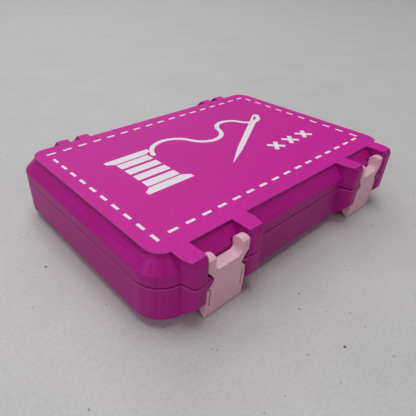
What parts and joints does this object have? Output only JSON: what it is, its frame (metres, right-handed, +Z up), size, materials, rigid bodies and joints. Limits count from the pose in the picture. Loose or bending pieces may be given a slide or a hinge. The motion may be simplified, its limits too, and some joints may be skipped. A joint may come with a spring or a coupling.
{
  "type": "bobbin storage box",
  "caption": "Flat printed case with a hinged lid, two snap latches hung between front ribs and rails of open cradles inside that hold sewing machine bobbins on edge.",
  "frame": {"origin": "centre of the whole part's outline at the level it stands on", "axes": "+X along the front from left to right, +Y to the hinges, +Z up"},
  "size_m": [0.156, 0.1211, 0.0306],
  "materials": {
    "box_plastic": "magenta printed plastic with fine layer lines and a satin sheen",
    "latch_plastic": "pale pink printed plastic with fine layer lines",
    "pin_steel": "plain drawn steel",
    "inlay_plastic": "white printed plastic, level with the lid"
  },
  "bodies": {
    "base": {"base_shell": "box_plastic", "bobbin_rail_1": "box_plastic", "bobbin_rail_2": "box_plastic", "bobbin_rail_3": "box_plastic", "bobbin_rail_4": "box_plastic", "hinge_pin_left": "pin_steel", "hinge_pin_right": "pin_steel"},
    "lid": {"lid_shell": "box_plastic", "stitches_front": "inlay_plastic", "stitches_rear": "inlay_plastic", "stitches_left": "inlay_plastic", "stitches_right": "inlay_plastic", "motif_needle": "inlay_plastic", "motif_spool": "inlay_plastic", "motif_crosses": "inlay_plastic"},
    "latch_left": {"latch_left": "latch_plastic"},
    "latch_right": {"latch_right": "latch_plastic"}
  },
  "joints": [
    {"name": "lid_hinge", "type": "hinge", "parent": "base", "child": "lid", "pos_m": [0, 0.05635, 0.0195], "axis": [-1, 0, 0], "range_deg": [0, 180]},
    {"name": "latch_left_swing", "type": "hinge", "parent": "lid", "child": "latch_left", "pos_m": [-0.0492, -0.05745, 0.025], "axis": [-1, 0, 0], "range_deg": [0, 120]},
    {"name": "latch_right_swing", "type": "hinge", "parent": "lid", "child": "latch_right", "pos_m": [0.0492, -0.05745, 0.025], "axis": [-1, 0, 0], "range_deg": [0, 120]}
  ]
}
